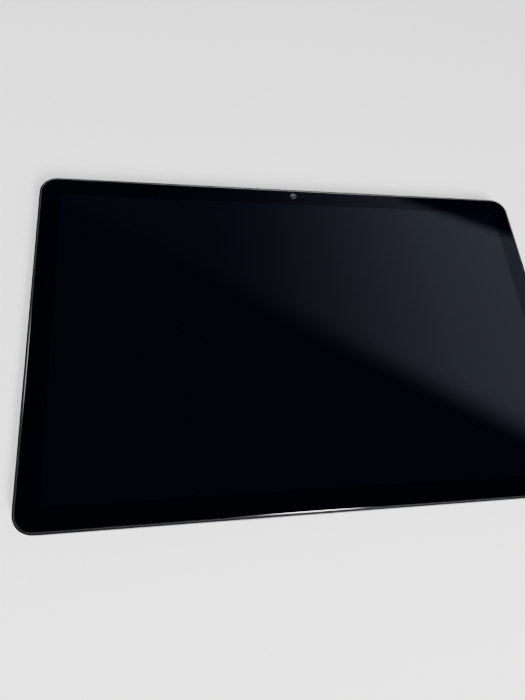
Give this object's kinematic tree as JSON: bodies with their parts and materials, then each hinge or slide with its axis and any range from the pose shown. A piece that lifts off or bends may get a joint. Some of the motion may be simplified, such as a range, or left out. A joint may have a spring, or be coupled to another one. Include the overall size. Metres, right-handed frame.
{
  "type": "tablet computer",
  "caption": "Slim tablet computer with a glass front, dark metal tub, side keys, charging port, earphone socket, card tray and speakers, with display, battery and boards inside.",
  "frame": {"origin": "middle of the flat back face", "axes": "+X along the long side towards the charging port, +Y towards the long edge with the front camera and the keys, +Z out through the cover glass"},
  "size_m": [0.257, 0.169, 0.0069],
  "materials": {
    "anodised_aluminium": "fine bead-blasted, dark graphite anodised",
    "band_plastic": "satin, matched to the metal",
    "black_plastic": "satin moulded",
    "plate_alloy": "rolled, stamped",
    "screw_steel": "black zinc",
    "cover_glass": "polished, oleophobic",
    "border_ink": "opaque black ink",
    "tape": "foam tape",
    "clear_adhesive": "clear gel",
    "polariser_film": "dark film",
    "cell_glass": "ground edges",
    "white_plastic": "moulded",
    "reflector_film": "satin white film",
    "acrylic": "clear, polished",
    "diffuser_film": "frosted",
    "led_package": "phosphor lens",
    "polyimide_flex": "amber flexible circuit",
    "foil_pouch": "laminated foil pouch",
    "circuit_board": "solder mask",
    "shield_steel": "tin plated",
    "chip_epoxy": "moulded epoxy",
    "connector_plastic": "moulded",
    "port_steel": "drawn, nickel plated",
    "silicone": "soft moulded",
    "gold_spring": "gold plated",
    "microphone_can": "deep drawn",
    "aerial_plastic": "laser-structured plastic",
    "speaker_plastic": "moulded",
    "magnet_steel": "nickel plated",
    "diaphragm_film": "pressed film with coil",
    "mesh_steel": "woven, blackened",
    "camera_metal": "turned, dark anodised",
    "lens_glass": "coated",
    "camera_plastic": "moulded",
    "dome_steel": "pressed"
  },
  "bodies": {
    "chassis": {"rear_cover": "anodised_aluminium", "antenna_bands": "band_plastic", "frame_rim": "black_plastic", "mid_plate": "plate_alloy", "screws": "screw_steel", "cover_glass": "cover_glass", "border_film": "border_ink", "glass_tape": "tape", "optical_adhesive": "clear_adhesive", "polarisers": "polariser_film", "lcd_cell": "cell_glass", "backlight_frame": "white_plastic", "reflector_sheet": "reflector_film", "light_guide": "acrylic", "backlight_films": "diffuser_film", "backlight_leds": "led_package", "display_flex": "polyimide_flex", "battery_cell_left": "foil_pouch", "battery_cell_right": "foil_pouch", "battery_guard_board": "circuit_board", "battery_adhesive": "tape", "main_board": "circuit_board", "shield_cans": "shield_steel", "board_chips": "chip_epoxy", "board_connectors": "connector_plastic", "link_flex": "polyimide_flex", "sub_board": "circuit_board", "usb_shell": "port_steel", "usb_tongue": "camera_plastic", "usb_seal": "silicone", "jack_body": "black_plastic", "jack_contacts": "gold_spring", "microphones": "microphone_can", "antennas": "aerial_plastic", "speaker_motors": "magnet_steel", "speaker_meshes": "mesh_steel", "rear_camera_ring": "camera_metal", "rear_camera_window": "lens_glass", "rear_camera_body": "camera_plastic", "front_camera": "camera_plastic", "light_sensor": "camera_plastic", "key_domes": "dome_steel", "key_flex": "polyimide_flex", "key_bracket": "dome_steel", "card_socket": "shield_steel", "speaker_box_top_left": "speaker_plastic", "speaker_box_top_right": "speaker_plastic", "speaker_box_bottom_left": "speaker_plastic", "speaker_box_bottom_right": "speaker_plastic"},
    "power_key": {"power_button": "anodised_aluminium"},
    "volume_key": {"volume_rocker": "anodised_aluminium"},
    "tray": {"card_tray": "anodised_aluminium", "tray_seal": "silicone"},
    "rod": {"eject_rod": "dome_steel"},
    "lever": {"eject_lever": "dome_steel"},
    "lens": {"rear_camera_lens": "lens_glass"},
    "cone_top_left": {"speaker_diaphragm_top_left": "diaphragm_film"},
    "cone_top_right": {"speaker_diaphragm_top_right": "diaphragm_film"},
    "cone_bottom_left": {"speaker_diaphragm_bottom_left": "diaphragm_film"},
    "cone_bottom_right": {"speaker_diaphragm_bottom_right": "diaphragm_film"}
  },
  "joints": [
    {"name": "power_press", "type": "slide", "parent": "chassis", "child": "power_key", "axis": [0, -1, 0], "range_m": [0, 0.00025], "stiffness_N_per_m": 8000, "springref_m": -0.00002, "deforming": ["key_domes"]},
    {"name": "volume_rock", "type": "hinge", "parent": "chassis", "child": "volume_key", "pos_m": [-0.066, 0.0826, 0.00315], "axis": [0, 0, 1], "range_deg": [-1.3, 1.3], "stiffness_Nm_per_rad": 0.9, "deforming": ["key_domes"]},
    {"name": "tray_slide", "type": "slide", "parent": "chassis", "child": "tray", "axis": [0, 1, 0], "range_m": [0, 0.0178]},
    {"name": "eject_swing", "type": "hinge", "parent": "chassis", "child": "lever", "pos_m": [-0.0291, 0.0634, 0.00275], "axis": [0, 0, -1], "range_deg": [0, 23.1]},
    {"name": "eject_push", "type": "slide", "parent": "chassis", "child": "rod", "axis": [0, -1, 0], "range_m": [0, 0.0014]},
    {"name": "focus", "type": "slide", "parent": "chassis", "child": "lens", "axis": [0, 0, -1], "range_m": [0, 0.00025], "stiffness_N_per_m": 60, "springref_m": -0.00005},
    {"name": "cone_top_left", "type": "slide", "parent": "chassis", "child": "cone_top_left", "axis": [0, 0, -1], "range_m": [-0.00025, 0.00025], "stiffness_N_per_m": 700},
    {"name": "cone_top_right", "type": "slide", "parent": "chassis", "child": "cone_top_right", "axis": [0, 0, -1], "range_m": [-0.00025, 0.00025], "stiffness_N_per_m": 700},
    {"name": "cone_bottom_left", "type": "slide", "parent": "chassis", "child": "cone_bottom_left", "axis": [0, 0, -1], "range_m": [-0.00025, 0.00025], "stiffness_N_per_m": 700},
    {"name": "cone_bottom_right", "type": "slide", "parent": "chassis", "child": "cone_bottom_right", "axis": [0, 0, -1], "range_m": [-0.00025, 0.00025], "stiffness_N_per_m": 700}
  ],
  "couplings": [
    {"joint": "eject_swing", "follows": "eject_push", "rad_per_m": 285.71}
  ]
}
